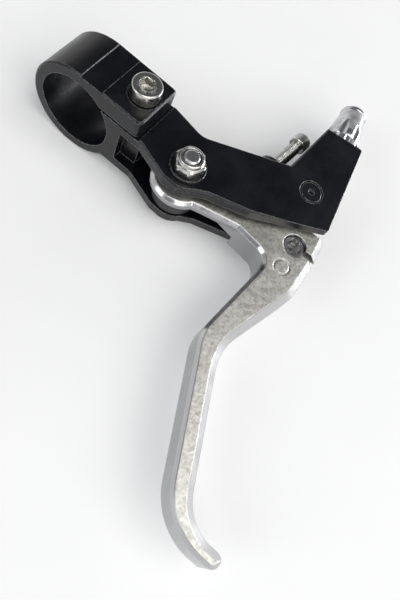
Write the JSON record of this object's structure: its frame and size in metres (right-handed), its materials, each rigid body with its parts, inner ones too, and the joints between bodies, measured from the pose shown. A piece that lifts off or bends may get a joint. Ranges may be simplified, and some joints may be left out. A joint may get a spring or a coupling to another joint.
{
  "type": "bicycle brake lever",
  "caption": "Flat-bar bicycle brake lever: black clamp bracket, silver blade on a bolted pivot, slotted cable anchor, reach screw and barrel adjuster.",
  "frame": {"origin": "centre of the handlebar clamp's bore", "axes": "+X along the handlebar towards the blade's tip, +Y from the bar towards the lever pivot, +Z along the pivot axis towards its nut"},
  "size_m": [0.1382, 0.1138, 0.0326],
  "materials": {
    "black_bracket": "satin black on cast aluminium",
    "silver_lever": "cast aluminium, polished bevels",
    "zinc_screw": "bright zinc plate",
    "pivot_steel": "turned steel",
    "barrel_silver": "satin turned aluminium",
    "black_bush": "moulded nylon",
    "spring_steel": "rolled spring steel"
  },
  "bodies": {
    "bracket": {"bracket": "black_bracket", "pivot_bolt": "pivot_steel", "pivot_nut": "zinc_screw", "nut_washer": "black_bracket", "pivot_sleeve": "pivot_steel", "thrust_washer_bolt_side": "spring_steel", "thrust_washer_nut_side": "spring_steel", "spring_washer": "spring_steel"},
    "lever": {"lever_blade": "silver_lever", "flange_bush_bolt_side": "black_bush", "flange_bush_nut_side": "black_bush"},
    "anchor": {"cable_anchor": "pivot_steel"},
    "clamp_screw": {"clamp_screw": "zinc_screw"},
    "reach_screw": {"reach_screw": "zinc_screw"},
    "lock_ring": {"lock_ring": "barrel_silver"},
    "barrel_seat": {"housing_seat": "black_bush"},
    "barrel": {"barrel_adjuster": "barrel_silver"}
  },
  "joints": [
    {"name": "lever_pull", "type": "hinge", "parent": "bracket", "child": "lever", "pos_m": [0.0048, 0.0346, 0], "axis": [0, 0, -1], "range_deg": [0, 42]},
    {"name": "anchor_swivel", "type": "hinge", "parent": "lever", "child": "anchor", "pos_m": [-0.0013, 0.0702, 0], "axis": [0, 0, 1], "range_deg": [-10, 42]},
    {"name": "clamp_screw_turn", "type": "hinge", "parent": "bracket", "child": "clamp_screw", "pos_m": [0, 0.0146, 0.0134], "axis": [0, 0, 1], "continuous": true},
    {"name": "reach_screw_turn", "type": "hinge", "parent": "bracket", "child": "reach_screw", "pos_m": [-0.009, 0.0498, 0], "axis": [-0.9936, 0.1132, 0], "continuous": true},
    {"name": "lock_ring_turn", "type": "hinge", "parent": "bracket", "child": "lock_ring", "pos_m": [-0.04168, 0.06308, 0], "axis": [-0.9848, -0.1736, 0], "continuous": true},
    {"name": "barrel_travel", "type": "slide", "parent": "bracket", "child": "barrel_seat", "axis": [-0.9848, -0.1736, 0], "range_m": [0, 0.006]},
    {"name": "barrel_turn", "type": "hinge", "parent": "barrel_seat", "child": "barrel", "pos_m": [-0.04168, 0.06308, 0], "axis": [-0.9848, -0.1736, 0], "range_deg": [0, 2160]}
  ],
  "couplings": [
    {"joint": "barrel_turn", "follows": "barrel_travel", "rad_per_m": 6283.2}
  ]
}
